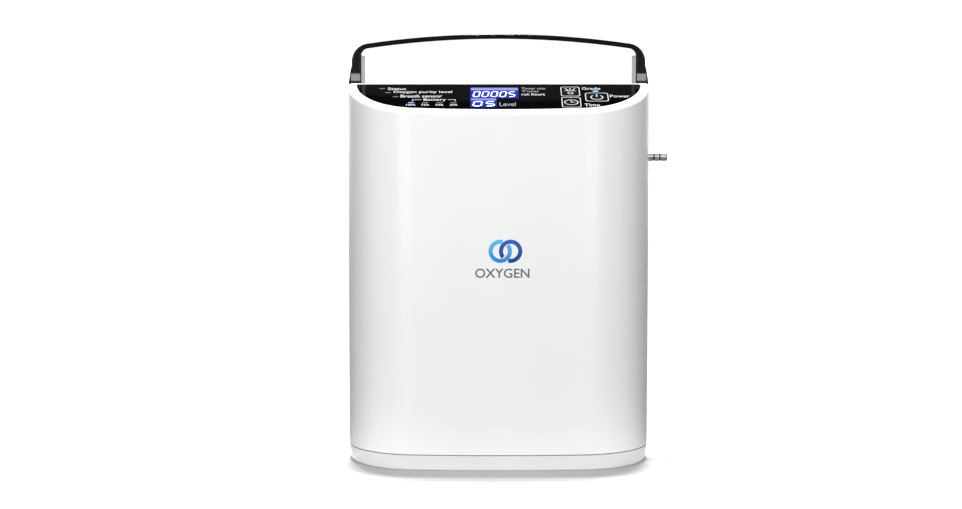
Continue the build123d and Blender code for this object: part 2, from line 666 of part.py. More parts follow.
def sieve_column(side):
    z0, z1 = COLUMN_Z
    tube = cyl_z(z0, z1, side * COLUMN_X, 0, COLUMN_R)
    tube -= cyl_z(z0 - 1, z1 + 1, side * COLUMN_X, 0, COLUMN_R - 1.4)
    for z in (z0 + 8, z1 - 8):
        ring = cyl_z(z - 1, z + 1, side * COLUMN_X, 0, COLUMN_R + 1)
        tube -= ring - cyl_z(z - 1, z + 1, side * COLUMN_X, 0, COLUMN_R - 0.5)
    return tube


def sieve_beds():
    return [cyl_z(COLUMN_Z[0] + 8, COLUMN_Z[1] - 14, s * COLUMN_X, 0, COLUMN_R - 1.5) for s in (-1, 1)]


def column_springs():
    """Springs that press the sieve beds together, as plain sleeves."""
    found = []
    for s in (-1, 1):
        z0, z1 = COLUMN_Z[1] - 13.9, COLUMN_Z[1] - 4.1
        found.append(cyl_z(z0, z1, s * COLUMN_X, 0, 9) - cyl_z(z0 - 1, z1 + 1, s * COLUMN_X, 0, 7.6))
    return found


def column_caps():
    found = []
    for s in (-1, 1):
        z = COLUMN_Z[0]
        bottom = cyl_z(DECK_Z, z, s * COLUMN_X, 0, COLUMN_R)
        bottom += cyl_z(z, z + 7.9, s * COLUMN_X, 0, COLUMN_R - 1.45)
        z = COLUMN_Z[1]
        top = cyl_z(z, z + 5, s * COLUMN_X, 0, COLUMN_R) + cyl_z(z - 4, z, s * COLUMN_X, 0, COLUMN_R - 1.45)
        found += [bottom, top]
    return found


def product_tank():
    tank = cyl_x(-40, 40, TANK_Y, TANK_Z, TANK_R)
    tank = fillet([e for e in tank.edges() if abs(e.center().X) > 39], 4.0)
    return tank - cyl_x(-37, 37, TANK_Y, TANK_Z, TANK_R - 1.3)


def valve_manifold():
    """Gas plate across the tops of both columns. It carries the valves and, on two saddles, the tank."""
    z0, z1 = MANIFOLD_Z
    plate = box(-78, 78, -16, 6, z0, z1)
    plate = fillet(plate.edges().filter_by(Axis.Z), 4.0)
    for x in (-30, 30):
        saddle = box(x - 5, x + 5, TANK_Y - 4, TANK_Y + 10, TANK_Z, z0 + 3)
        plate += saddle - cyl_x(-50, 50, TANK_Y, TANK_Z, TANK_R)
    for x in VALVES.values():
        plate -= cyl_z(z0 + 3, z1 + 1, x, -5, 2.8)
    return plate


def valve_coils():
    found = []
    z1 = MANIFOLD_Z[1]
    for x in VALVES.values():
        coil = box(x - 7, x + 7, -12, 2, z1, z1 + 20)
        coil = fillet(coil.edges().filter_by(Axis.Z), 1.5) - cyl_z(z1 - 1, z1 + 16, x, -5, 2.5 + RUNNING)
        found.append(coil)
    return found


def valve_plunger(x):
    """Iron plunger that drops onto its seat in the gas plate and lifts into the coil."""
    seat = MANIFOLD_Z[0] + 3.0
    return cyl_z(seat + 3, seat + 16, x, -5, 2.5) + cyl_z(seat + 0.1, seat + 3, x, -5, 1.6)


def tube_along(points, turn_r):
    path = FilletPolyline(*points, radius=turn_r)
    start = Plane(origin=path @ 0, z_dir=path % 0)
    return sweep(start * Circle(TUBE_R), path=path)


def cooling_coil():
    """Flat serpentine on the front of the fan."""
    y = FAN_Y[0] - TUBE_R
    rows = [134 + 12 * i for i in range(5)]
    points = [(35, y, rows[0])]
    side = -1
    for low, high in zip(rows, rows[1:]):
        points += [(side * 28, y, low), (side * 28, y, high)]
        side = -side
    points.append((-35, y, rows[-1]))
    return tube_along(points, 5.5)


def hoses():
    """Silicone hoses between the compressor, coil, gas plate, tank, sensor and outlet."""
    coil_y, head_top, plate_top = FAN_Y[0] - TUBE_R, CRANK_Z + 17, MANIFOLD_Z[1]
    cross = [(-37.4, CYL_Y, head_top), (-37.4, CYL_Y, 109), (37.4, CYL_Y, 109), (37.4, CYL_Y, head_top)]
    rise = [(30, CYL_Y, 109), (30, CYL_Y, 116), (42, coil_y, 126), (42, coil_y, 134), (35, coil_y, 134)]
    to_plate = [(-35, coil_y, 182), (-42, coil_y, 182), (-42, 0, 186), (-42, 0, plate_top)]
    to_sensor = [(40, TANK_Y, TANK_Z), (47, TANK_Y, TANK_Z), (47, TANK_Y, 183), (47, 10, 183), (54, 10, 183)]
    tail = cyl_x(72, 79.4, PORT_Y, PORT_Z, 3.3) - cyl_x(75.4, 80.5, PORT_Y, PORT_Z, 2.05)
    joined = tube_along(cross, 3.0) + tube_along(rise, 3.0)
    return [joined, tube_along(to_plate, 3.0), tube_along(to_sensor, 3.0), tail]


def oxygen_sensor():
    block = box(54, 72, 2, 20, MANIFOLD_Z[1], MANIFOLD_Z[1] + 17)
    return fillet(block.edges().filter_by(Axis.X), 2.0)


def muffler():
    """Exhaust muffler with a slotted wall."""
    x, y = -33, 29.5
    can = cyl_z(DECK_Z, 106, x, y, 6.5)
    for i in range(5):
        z = 64 + 8 * i
        can -= cyl_z(z, z + 1.6, x, y, 8) - cyl_z(z, z + 1.6, x, y, 5.6)
    return can


def main_board():
    """Control board on the front shell, with its larger components and the buzzer."""
    board = box(-41, 41, -38.6, -37.0, 112, 186)
    found = [board, cyl_y(-37.0, -33.5, 22, 178, 5.0)]
    for x, z, w, h in ((-24, 130, 14, 10), (6, 134, 16, 16), (26, 168, 10, 14), (-20, 170, 12, 8)):
        found.append(box(x - w / 2, x + w / 2, -40.2, -38.6, z - h / 2, z + h / 2))
    return found


NODES = {
    "front_shell": front_shell,
    "rear_shell": rear_shell,
    "casing_screws": casing_screws,
    "control_panel": control_panel,
    "level_key": lambda: key("level_key"),
    "timer_key": lambda: key("timer_key"),
    "power_key": lambda: key("power_key"),
    "lcd_window": lambda: lcd_shape(0, -PANEL_SUNK - 0.8, -PANEL_SUNK),
    "lcd_module": lcd_module,
    "indicator_lamps": lambda: lamps(0, BOARD_TOP, -PANEL_SUNK),
    "display_board": display_board,
    "handle_frame": handle_frame,
    "handle_leg_covers": handle_leg_covers,
    "handle_pivots": handle_pivots,
    "oxygen_outlet": oxygen_outlet,
    "outlet_nut": outlet_nut,
    "outlet_seal": outlet_seal,
    "filter_door": filter_door,
    "filter_foam": filter_foam,
    "intake_filter": intake_filter,
    "fan_frame": fan_frame,
    "fan_rotor": fan_rotor,
    "inner_frame": inner_frame,
    "battery_socket": battery_socket,
    "battery_latch": battery_latch,
    "latch_springs": latch_springs,
    "base_cap": base_cap,
    "rubber_feet": rubber_feet,
    "battery_case": battery_case,
    "battery_cells": battery_cells,
    "battery_board": battery_board,
    "dc_jack": dc_jack,
    "crankcase": crankcase,
    "crank_bearings": crank_bearings,
    "crankshaft": crankshaft,
    "motor_case": motor_case,
    "motor_stator": motor_stator,
    "piston_left": lambda: piston(-1),
    "piston_right": lambda: piston(1),
    "cylinders": lambda: [cylinder(-1), cylinder(1)],
    "valve_plates": lambda: [valve_plate(-1), valve_plate(1)],
    "cylinder_heads": lambda: [cylinder_head(-1), cylinder_head(1)],
    "head_screws": head_screws,
    "compressor_mounts": compressor_mounts,
    "sieve_columns": lambda: [sieve_column(-1), sieve_column(1)],
    "sieve_beds": sieve_beds,
    "column_springs": column_springs,
    "column_caps": column_caps,
    "product_tank": product_tank,
    "valve_manifold": valve_manifold,
    "valve_coils": valve_coils,
    "cooling_coil": cooling_coil,
    "hoses": hoses,
    "oxygen_sensor": oxygen_sensor,
    "exhaust_muffler": muffler,
    "main_board": main_board,
}
for valve_name, valve_x in VALVES.items():
    NODES[f"{valve_name}_plunger"] = lambda x=valve_x: valve_plunger(x)


def save(name, made):
    """Writes one node's solids to its own file."""
    shapes = made if isinstance(made, list) else [made]
    solids = [solid for shape in shapes for solid in shape.solids()]
    export_step(Compound(children=solids), f"parts/{name}.step")


def main():
    os.makedirs("parts", exist_ok=True)
    for name, make in NODES.items():
        save(name, make())


main()
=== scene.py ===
"""Looks of the portable oxygen concentrator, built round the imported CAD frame. Metres."""

import json
from math import cos, pi, radians, sin, sqrt

import bmesh
import bpy
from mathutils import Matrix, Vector


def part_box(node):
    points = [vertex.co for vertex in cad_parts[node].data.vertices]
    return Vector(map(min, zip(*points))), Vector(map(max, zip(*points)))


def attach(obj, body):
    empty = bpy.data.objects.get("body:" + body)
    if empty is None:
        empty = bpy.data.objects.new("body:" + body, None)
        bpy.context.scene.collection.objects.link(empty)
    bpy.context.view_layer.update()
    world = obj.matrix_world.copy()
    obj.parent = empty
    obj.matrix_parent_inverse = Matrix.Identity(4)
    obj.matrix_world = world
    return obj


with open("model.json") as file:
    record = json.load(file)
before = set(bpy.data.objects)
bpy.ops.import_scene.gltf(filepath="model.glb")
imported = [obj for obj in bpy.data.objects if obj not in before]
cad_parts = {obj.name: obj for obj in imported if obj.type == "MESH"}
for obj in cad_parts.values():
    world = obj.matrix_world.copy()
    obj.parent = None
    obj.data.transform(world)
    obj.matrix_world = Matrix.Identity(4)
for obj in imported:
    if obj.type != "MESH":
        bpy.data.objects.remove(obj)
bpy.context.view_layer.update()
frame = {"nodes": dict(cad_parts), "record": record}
NODES = frame["nodes"]
MM = 0.001

# Body outline and display slope, as in the CAD frame
SHELL_LOW, SHELL_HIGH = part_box("front_shell")
RIDGE_Z = SHELL_HIGH.z
END_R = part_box("rear_shell")[1].y
END_X = SHELL_HIGH.x - END_R
FRONT_REACH = -SHELL_LOW.y
BOW_R = (END_X**2 + FRONT_REACH**2 - END_R**2) / (2 * (FRONT_REACH - END_R))
SLOPE = radians(19.8)

# Heights over the surface they lie on, in millimetres
INK = 0.04                            # top of printing
INK_FOOT = -0.03                      # foot of printing on the casing, just under its surface

# Places on the display slope in millimetres: x across, v down the slope from the ridge
KEYS = {                              # name: (x from, x to, v from, v to)
    "level": (36.3, 48.3, 6.0, 22.0),
    "timer": (36.3, 48.3, 23.0, 39.8),
    "power": (50.4, 64.8, 15.8, 30.2),
}
BATTERY_LAMPS = tuple((-51.4 + 8.3 * i, 31.1) for i in range(4))
POWER_LAMP = (57.3, 12.6)

# Places on the outlet and the handle
# Grooves of the outlet, which the nickel darkens as painted shade
GROOVE_XS = (94.1 * MM, 97.7 * MM)
GROOVE_HALF = 0.5 * MM
# Where the painted reflection lies on the handle's legs: heights over the ridge and distances from the middle
PAINTED_SHEEN_FOOT, PAINTED_SHEEN_TOP = RIDGE_Z + 1 * MM, RIDGE_Z + 6.2 * MM
PAINTED_SHEEN_INNER_X, PAINTED_SHEEN_OUTER_X = 82.6 * MM, 88.6 * MM

# Emblem on the front face, in millimetres
EMBLEM_Z = 130.0
EMBLEM_HALF = 7.0
LINK_XS = (0.7, 6.7)                  # centres of the two linked rings
LINK_R, LINK_WIDTH = 5.6, 2.4

# Lights
WORLD_GLOW = 0.78
WORLD_SHEEN = 0.10                    # the part of that glow that glossy surfaces mirror
BACKDROP = 1.05                       # the world as the camera sees it
SUN_POWER = 4.9
SUN_SPREAD = 5.0                      # degrees
SUN_LEAN = -6.5                       # degrees from upright, so that it shines from slightly behind
LIGHT_AIM = (0, 0, 0.13)
SOFTBOXES = {                         # name: (place, size, power)
    "front_left": ((-0.55, -1.25, 0.22), (0.5, 0.6), 6.9),
    "front_right": ((0.55, -1.25, 0.22), (0.5, 0.6), 5.8),
    "side_left": ((-1.10, -0.45, 0.22), (0.4, 0.7), 3.8),
    "side_right": ((1.10, -0.45, 0.22), (0.4, 0.7), 2.6),
    "rear_left": ((-0.7, 1.25, 0.35), (0.6, 0.5), 2.2),
    "rear_right": ((0.7, 1.25, 0.35), (0.6, 0.5), 2.2),
}

# Floor and dark cards, half sizes across and deep
FLOOR_HALF = 60.0
RING_INNER, RING_OUTER, RING_Z = (0.102, 0.068), (0.95, 1.40), 1 * MM
CARD_X, CARD_HALF_DEPTH, CARD_HEIGHT = 0.56, 0.80, 0.9

# Camera
CAMERA_PLACE = (-0.0105, -1.261, 0.2495)
CAMERA_DIP = 5.7                      # degrees below level
CAMERA_LENS, SENSOR_WIDTH = 78.7, 36.0


# ---------------------------------------------------------------- materials

def new_material(name):
    mat = bpy.data.materials.new(name)
    mat.use_nodes = True
    tree = mat.node_tree
    return mat, tree, tree.nodes["Principled BSDF"]


def add(tree, kind, **values):
    """New shader node, with its inputs or properties set by name."""
    node = tree.nodes.new(kind)
    for key, value in values.items():
        if key in node.inputs.keys():
            node.inputs[key].default_value = value
        else:
            setattr(node, key, value)
    return node


def noise(tree, scale, detail=4.0, roughness=0.5, stretch=(1, 1, 1)):
    """Noise in object space, at scale cells per metre."""
    coords = add(tree, "ShaderNodeTexCoord")
    mapping = add(tree, "ShaderNodeMapping")
    mapping.inputs["Scale"].default_value = stretch
    tex = add(tree, "ShaderNodeTexNoise", Scale=scale, Detail=detail, Roughness=roughness)
    tree.links.new(coords.outputs["Object"], mapping.inputs["Vector"])
    tree.links.new(mapping.outputs["Vector"], tex.inputs["Vector"])
    return tex.outputs["Fac"]


def spread(tree, fac, low, high):
    """Maps a 0..1 factor to a range."""
    node = add(tree, "ShaderNodeMapRange")
    node.inputs["From Min"].default_value = 0.3
    node.inputs["From Max"].default_value = 0.7
    node.inputs["To Min"].default_value = low
    node.inputs["To Max"].default_value = high
    tree.links.new(fac, node.inputs["Value"])
    return node.outputs["Result"]


def two_tone(tree, fac, dark, light):
    """Colour that wanders between two tones."""
    ramp = add(tree, "ShaderNodeValToRGB")
    ramp.color_ramp.elements[0].position = 0.35
    ramp.color_ramp.elements[1].position = 0.65
    ramp.color_ramp.elements[0].color = (*dark, 1)
    ramp.color_ramp.elements[1].color = (*light, 1)
    tree.links.new(fac, ramp.inputs["Fac"])
    return ramp.outputs["Color"]


def bump(tree, shader, height, strength, distance):
    """Raises the surface by a height map."""
    node = add(tree, "ShaderNodeBump", Strength=strength, Distance=distance)
    tree.links.new(height, node.inputs["Height"])
    tree.links.new(node.outputs["Normal"], shader.inputs["Normal"])


def worn_edges(tree, colour, edge_colour, amount, radius):
    """Blends in a paler tone along convex edges."""
    geometry = add(tree, "ShaderNodeNewGeometry")
    bevel = add(tree, "ShaderNodeBevel", Radius=radius)
    dot = add(tree, "ShaderNodeVectorMath", operation="DOT_PRODUCT")
    edge = add(tree, "ShaderNodeMapRange")
    edge.inputs["From Min"].default_value = 1.0
    edge.inputs["From Max"].default_value = 0.85
    edge.inputs["To Max"].default_value = amount
    mix = add(tree, "ShaderNodeMix", data_type="RGBA")
    tree.links.new(bevel.outputs["Normal"], dot.inputs[0])
    tree.links.new(geometry.outputs["Normal"], dot.inputs[1])
    tree.links.new(dot.outputs["Value"], edge.inputs["Value"])
    tree.links.new(edge.outputs["Result"], mix.inputs["Factor"])
    tree.links.new(colour, mix.inputs["A"])
    mix.inputs["B"].default_value = (*edge_colour, 1)
    return mix.outputs["Result"]


def plastic(name, dark, light, rough, grain, grain_height, coat=0.0, wear=0.0, ior=1.5, mottle=18.0):
    """Moulded plastic: faint mottle, uneven gloss and a fine moulded grain."""
    mat, tree, shader = new_material(name)
    colour = two_tone(tree, noise(tree, mottle, 3.0), dark, light)
    if wear:
        pale = tuple(min(1.0, c * 1.6 + 0.02) for c in light)
        colour = worn_edges(tree, colour, pale, wear, 0.5 * MM)
    tree.links.new(colour, shader.inputs["Base Color"])
    gloss = noise(tree, 90.0, 5.0)
    tree.links.new(spread(tree, gloss, rough[0], rough[1]), shader.inputs["Roughness"])
    shader.inputs["IOR"].default_value = ior
    shader.inputs["Coat Weight"].default_value = coat
    shader.inputs["Coat Roughness"].default_value = 0.05
    bump(tree, shader, noise(tree, grain, 3.0), 0.5, grain_height)
    return mat


def window(tree, value, start, stop, soft):
    """1 between two values, fading out over a soft distance at each."""
    rise = add(tree, "ShaderNodeMapRange")
    rise.inputs["From Min"].default_value = start
    rise.inputs["From Max"].default_value = start + soft
    fall = add(tree, "ShaderNodeMapRange")
    fall.inputs["From Min"].default_value = stop
    fall.inputs["From Max"].default_value = stop - soft
    tree.links.new(value, rise.inputs["Value"])
    tree.links.new(value, fall.inputs["Value"])
    return times(tree, rise.outputs["Result"], fall.outputs["Result"])


def times(tree, a, b):
    """Product of two values."""
    node = add(tree, "ShaderNodeMath", operation="MULTIPLY")
    tree.links.new(a, node.inputs[0])
    tree.links.new(b, node.inputs[1])
    return node.outputs["Value"]


def blend_in(tree, shader, mask, colour):
    """Lays a colour over the shader's base colour where the mask is 1."""
    mix = add(tree, "ShaderNodeMix", data_type="RGBA")
    tree.links.new(shader.inputs["Base Color"].links[0].from_socket, mix.inputs["A"])
    tree.links.new(mask, mix.inputs["Factor"])
    mix.inputs["B"].default_value = (*colour, 1)
    tree.links.new(mix.outputs["Result"], shader.inputs["Base Color"])


def handle_gloss_with_painted_sheen(name, dark, band, from_z, to_z):
    """Black lacquer with a painted reflection: a grey band across the front of each leg, just above the
    casing.
    """
    mat = plastic(name, dark, tuple(c * 1.3 for c in dark), (0.10, 0.16), 1500.0, 0.001 * MM, ior=1.25)
    tree = mat.node_tree
    shader = tree.nodes["Principled BSDF"]
    coords = add(tree, "ShaderNodeTexCoord")
    place = add(tree, "ShaderNodeSeparateXYZ")
    facing = add(tree, "ShaderNodeSeparateXYZ")
    tree.links.new(coords.outputs["Object"], place.inputs["Vector"])
    tree.links.new(coords.outputs["Normal"], facing.inputs["Vector"])
    aside = add(tree, "ShaderNodeMath", operation="ABSOLUTE")
    tree.links.new(place.outputs["X"], aside.inputs[0])
    along = window(tree, place.outputs["Z"], from_z, to_z, 1.0 * MM)
    across = window(tree, aside.outputs["Value"], PAINTED_SHEEN_INNER_X, PAINTED_SHEEN_OUTER_X, 0.5 * MM)
    front = window(tree, facing.outputs["Y"], -1.3, -0.7, 0.2)
    # Painted reflection: grey laid into the colour on the front-facing part of each leg
    blend_in(tree, shader, times(tree, times(tree, along, across), front), band)
    return mat


def grooved_nickel(name, groove_xs, half):
    """Satin plating, with painted shade in the grooves of the outlet."""
    mat = metal(name, (0.60, 0.60, 0.61), (0.74, 0.74, 0.75), (0.36, 0.48), (14, 1, 1))
    tree = mat.node_tree
    coords = add(tree, "ShaderNodeTexCoord")
    place = add(tree, "ShaderNodeSeparateXYZ")
    tree.links.new(coords.outputs["Object"], place.inputs["Vector"])
    for x in groove_xs:
        mask = window(tree, place.outputs["X"], x - half, x + half, 0.1 * MM)
        # Painted shade: near-black colour laid into each groove of the outlet
        blend_in(tree, tree.nodes["Principled BSDF"], mask, (0.10, 0.10, 0.105))
    return mat


def metal(name, dark, light, rough, stretch=(1, 1, 1), grain=900.0, grain_height=0.01 * MM, wear=0.4):
    """Machined or plated metal: a drawn grain that varies tone, gloss and height."""
    mat, tree, shader = new_material(name)
    fac = noise(tree, grain, 4.0, 0.6, stretch)
    pale = tuple(min(1.0, c * 1.25) for c in light)
    colour = worn_edges(tree, two_tone(tree, fac, dark, light), pale, wear, 0.3 * MM)
    tree.links.new(colour, shader.inputs["Base Color"])
    tree.links.new(spread(tree, noise(tree, 160.0, 5.0), rough[0], rough[1]), shader.inputs["Roughness"])
    shader.inputs["Metallic"].default_value = 1.0
    bump(tree, shader, fac, 0.35, grain_height)
    return mat


def rubber_like(name, dark, light, rough, grain=2600.0, grain_height=0.05 * MM):
    """Rubber or silicone: dull, with a fine skin."""
    mat, tree, shader = new_material(name)
    tree.links.new(two_tone(tree, noise(tree, 220.0), dark, light), shader.inputs["Base Color"])
    tree.links.new(spread(tree, noise(tree, 140.0), rough[0], rough[1]), shader.inputs["Roughness"])
    shader.inputs["Specular IOR Level"].default_value = 0.3
    bump(tree, shader, noise(tree, grain, 2.0), 0.6, grain_height)
    return mat


def foam_like(name, dark, light):
    """Open-cell foam."""
    mat, tree, shader = new_material(name)
    coords = add(tree, "ShaderNodeTexCoord")
    cells = add(tree, "ShaderNodeTexVoronoi", Scale=1100.0)
    tree.links.new(coords.outputs["Object"], cells.inputs["Vector"])
    tree.links.new(two_tone(tree, cells.outputs["Distance"], dark, light), shader.inputs["Base Color"])
    shader.inputs["Roughness"].default_value = 0.95
    bump(tree, shader, cells.outputs["Distance"], 1.0, 0.4 * MM)
    return mat


def pleated(name, paper, shade):
    """Filter medium with fine pleats."""
    mat, tree, shader = new_material(name)
    coords = add(tree, "ShaderNodeTexCoord")
    wave = add(tree, "ShaderNodeTexWave", Scale=110.0, Distortion=0.6)
    wave.bands_direction = "X"
    tree.links.new(coords.outputs["Object"], wave.inputs["Vector"])
    tree.links.new(two_tone(tree, wave.outputs["Fac"], shade, paper), shader.inputs["Base Color"])
    shader.inputs["Roughness"].default_value = 0.9
    bump(tree, shader, wave.outputs["Fac"], 0.8, 0.4 * MM)
    return mat


def beads(name, dark, light):
    """Packed sieve beads."""
    mat, tree, shader = new_material(name)
    coords = add(tree, "ShaderNodeTexCoord")
    cells = add(tree, "ShaderNodeTexVoronoi", Scale=620.0)
    tree.links.new(coords.outputs["Object"], cells.inputs["Vector"])
    tree.links.new(two_tone(tree, cells.outputs["Distance"], light, dark), shader.inputs["Base Color"])
    shader.inputs["Roughness"].default_value = 0.8
    bump(tree, shader, cells.outputs["Distance"], 1.0, -0.6 * MM)
    return mat


def circuit_board(name):
    """Green solder mask over copper tracks."""
    mat, tree, shader = new_material(name)
    coords = add(tree, "ShaderNodeTexCoord")
    bricks = add(tree, "ShaderNodeTexBrick", Scale=260.0)
    bricks.inputs["Color1"].default_value = (0.010, 0.10, 0.045, 1)
    bricks.inputs["Color2"].default_value = (0.014, 0.13, 0.060, 1)
    bricks.inputs["Mortar"].default_value = (0.03, 0.20, 0.09, 1)
    bricks.inputs["Mortar Size"].default_value = 0.03
    tree.links.new(coords.outputs["Object"], bricks.inputs["Vector"])
    tree.links.new(bricks.outputs["Color"], shader.inputs["Base Color"])
    tree.links.new(spread(tree, noise(tree, 300.0), 0.22, 0.38), shader.inputs["Roughness"])
    bump(tree, shader, bricks.outputs["Fac"], 0.3, 0.05 * MM)
    return mat


def lit_ink(name, low, high, strength, from_z=0.0, to_z=1.0):
    """Glowing print whose colour changes with height between two levels."""
    mat, tree, shader = new_material(name)
    coords = add(tree, "ShaderNodeTexCoord")
    split = add(tree, "ShaderNodeSeparateXYZ")
    level = add(tree, "ShaderNodeMapRange")
    level.inputs["From Min"].default_value = from_z
    level.inputs["From Max"].default_value = to_z
    ramp = add(tree, "ShaderNodeValToRGB")
    ramp.color_ramp.elements[0].color = (*low, 1)
    ramp.color_ramp.elements[1].color = (*high, 1)
    tree.links.new(coords.outputs["Object"], split.inputs["Vector"])
    tree.links.new(split.outputs["Z"], level.inputs["Value"])
    tree.links.new(level.outputs["Result"], ramp.inputs["Fac"])
    tree.links.new(ramp.outputs["Color"], shader.inputs["Base Color"])
    tree.links.new(ramp.outputs["Color"], shader.inputs["Emission Color"])
    shader.inputs["Emission Strength"].default_value = strength
    shader.inputs["Roughness"].default_value = 0.35
    shader.inputs["IOR"].default_value = 1.25
    bump(tree, shader, noise(tree, 3000.0), 0.2, 0.01 * MM)
    return mat


def printed_ink(name, dark, light):
    return plastic(name, dark, light, (0.40, 0.53), 5000.0, 0.01 * MM, mottle=400.0)


def make_materials():
    """One material for each slot of the record."""
    made = {}
    made["shell_white"] = plastic("casing white", (0.852, 0.855, 0.86), (0.86, 0.862, 0.866), (0.38, 0.44),
                                  1500.0, 0.0015 * MM, coat=0.06)
    # The base cap's white is a darker copy of the casing white: painted shade low on the body
    made["base_white"] = plastic("base white with painted shade", (0.72, 0.724, 0.732), (0.75, 0.754, 0.76), (0.38, 0.46),
                                 1500.0, 0.002 * MM, coat=0.06)
    made["base_vent"] = plastic("cover white", (0.74, 0.75, 0.76), (0.78, 0.785, 0.79), (0.42, 0.55),
                                2200.0, 0.03 * MM)
    made["panel_black"] = plastic("panel black", (0.0010, 0.0010, 0.0012), (0.0015, 0.0015, 0.0017),
                                  (0.06, 0.10), 1800.0, 0.0005 * MM, ior=1.22)
    # The grey given here is the painted reflection on the front of the handle's legs
    made["handle_black"] = handle_gloss_with_painted_sheen("handle black", (0.0018, 0.0018, 0.002), (0.27, 0.27, 0.275),
                                        PAINTED_SHEEN_FOOT, PAINTED_SHEEN_TOP)
    made["cover_grey"] = plastic("pale grey", (0.36, 0.37, 0.375), (0.42, 0.43, 0.435), (0.42, 0.55),
                                 2400.0, 0.03 * MM)
    made["key_black"] = plastic("key black", (0.002, 0.002, 0.0022), (0.003, 0.003, 0.0033), (0.16, 0.24),
                                2600.0, 0.006 * MM, wear=0.10)
    made["lens_clear"] = lit_ink("display blue", (0.001, 0.004, 0.15), (0.003, 0.010, 0.24), 0.50,
                                 0.21, 0.226)
    made["lcd_grey"] = plastic("module grey", (0.20, 0.22, 0.24), (0.26, 0.28, 0.30), (0.4, 0.5),
                               1800.0, 0.02 * MM)
    made["lamp_lens"] = lit_ink("lamp pale", (0.10, 0.12, 0.15), (0.16, 0.18, 0.21), 0.10)
    made["nickel"] = grooved_nickel("nickel", GROOVE_XS, GROOVE_HALF)
    made["steel"] = metal("zinc steel", (0.36, 0.37, 0.38), (0.52, 0.53, 0.54), (0.26, 0.42))
    made["alu"] = metal("cast aluminium", (0.50, 0.51, 0.52), (0.68, 0.69, 0.70), (0.34, 0.55),
                        grain=1600.0, grain_height=0.04 * MM)
    made["iron"] = plastic("motor enamel", (0.025, 0.027, 0.03), (0.05, 0.053, 0.058), (0.35, 0.5),
                           1400.0, 0.02 * MM, wear=0.5)
    made["rubber"] = rubber_like("rubber", (0.012, 0.012, 0.013), (0.022, 0.022, 0.023), (0.6, 0.8))
    made["silicone"] = rubber_like("silicone", (0.52, 0.48, 0.40), (0.64, 0.60, 0.52), (0.3, 0.45),
                                   900.0, 0.02 * MM)
    made["foam"] = foam_like("filter foam", (0.008, 0.009, 0.010), (0.055, 0.058, 0.06))
    made["filter_paper"] = pleated("filter paper", (0.74, 0.70, 0.58), (0.46, 0.43, 0.35))
    made["pcb"] = circuit_board("solder mask")
    made["abs_black"] = plastic("black abs", (0.010, 0.010, 0.011), (0.018, 0.018, 0.020), (0.40, 0.55),
                                2000.0, 0.04 * MM, wear=0.2)
    made["abs_grey"] = plastic("grey abs", (0.17, 0.19, 0.21), (0.22, 0.24, 0.26), (0.42, 0.56),
                               1900.0, 0.04 * MM, wear=0.2)
    made["cell_wrap"] = plastic("cell wrap", (0.016, 0.12, 0.36), (0.028, 0.17, 0.46), (0.22, 0.34),
                                500.0, 0.03 * MM)
    made["zeolite"] = beads("sieve beads", (0.34, 0.28, 0.19), (0.70, 0.62, 0.48))
    made["brass"] = metal("brass", (0.50, 0.34, 0.12), (0.68, 0.47, 0.19), (0.28, 0.45))
    made["nylon"] = plastic("nylon", (0.62, 0.62, 0.57), (0.70, 0.70, 0.65), (0.38, 0.5),
                            1500.0, 0.03 * MM)
    return made


MATERIALS = make_materials()


def dress_frame():
    """Gives every CAD node the material of its slot."""
    for entry in frame["record"]["subparts"]:
        node = NODES[entry["node"]]
        node.data.materials.clear()
        node.data.materials.append(MATERIALS[entry["material_slot"]])


dress_frame()


# ---------------------------------------------------------------- drawing on the body

def on_slope(x, v, h):
    """Place on the display slope, v down it from the ridge and h off it. Millimetres in, metres out."""
    y = (-v * cos(SLOPE) - h * sin(SLOPE)) * MM
    z = RIDGE_Z + (-v * sin(SLOPE) + h * cos(SLOPE)) * MM
    return Vector((x * MM, y, z))


def on_front(x, z, h):
    """Place on the bowed front face."""
    x = x * MM
    return Vector((x, -(sqrt(BOW_R**2 - x**2) - BOW_R + FRONT_REACH) - h * MM, z * MM))


def on_rear(x, z, h):
    """Place on the flat rear face, read from behind."""
    return Vector((-x * MM, END_R + h * MM, z * MM))


def prism_mesh(name, outlines, low, high, place):
    """Closed plates from flat outlines, laid on a face by place(u, w, height)."""
    mesh = bpy.data.meshes.new(name)
    points, faces = [], []
    for outline in outlines:
        n, start = len(outline), len(points)
        points += [place(u, w, low) for u, w in outline] + [place(u, w, high) for u, w in outline]
        faces += [[start + (k + 1) % n, start + k, start + n + k, start + n + (k + 1) % n] for k in range(n)]
        faces += [[start + k for k in range(n)], [start + n + k for k in reversed(range(n))]]
    mesh.from_pydata(points, [], faces)
    bm = bmesh.new()
    bm.from_mesh(mesh)
    bmesh.ops.recalc_face_normals(bm, faces=bm.faces)
    bmesh.ops.triangulate(bm, faces=[f for f in bm.faces if len(f.verts) > 4])
    bm.to_mesh(mesh)
    bm.free()
    return mesh


def ring_mesh(name, outer, inner, low, high, place):
    """Closed frame between two outlines of the same length."""
    n = len(outer)
    points = [place(u, w, h) for h in (low, high) for line in (outer, inner) for u, w in line]
    faces = []
    for k in range(n):
        m = (k + 1) % n
        faces += [[k, m, 2 * n + m, 2 * n + k], [n + m, n + k, 3 * n + k, 3 * n + m]]
        faces += [[m, k, n + k, n + m], [2 * n + k, 2 * n + m, 3 * n + m, 3 * n + k]]
    mesh = bpy.data.meshes.new(name)
    mesh.from_pydata(points, [], faces)
    bm = bmesh.new()
    bm.from_mesh(mesh)
    bmesh.ops.recalc_face_normals(bm, faces=bm.faces)
    bm.to_mesh(mesh)
    bm.free()
    return mesh


